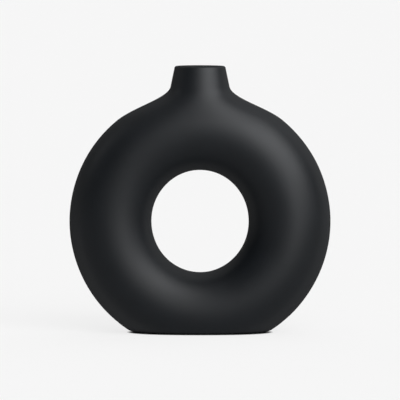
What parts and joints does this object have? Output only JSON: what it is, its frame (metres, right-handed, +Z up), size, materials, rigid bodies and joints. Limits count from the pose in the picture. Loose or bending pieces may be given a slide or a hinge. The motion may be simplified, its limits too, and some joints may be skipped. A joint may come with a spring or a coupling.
{
  "type": "ring vase",
  "caption": "Satin black ceramic vase shaped as an upright hollow ring on a flat foot, with a short round neck on its crown for stems and felt pads below.",
  "frame": {"origin": "on the table, under the middle of the foot", "axes": "+Z up through the neck, +X to the right across the ring, +Y to the rear through the ring's hole"},
  "size_m": [0.2, 0.062, 0.2044],
  "materials": {
    "black_glaze": "satin",
    "black_felt": "matte felt"
  },
  "bodies": {
    "root": {"ring_front_half": "black_glaze", "ring_rear_half": "black_glaze", "neck": "black_glaze", "foot_slab": "black_glaze", "pad_front_left": "black_felt", "pad_front_right": "black_felt", "pad_rear_left": "black_felt", "pad_rear_right": "black_felt"}
  },
  "joints": []
}
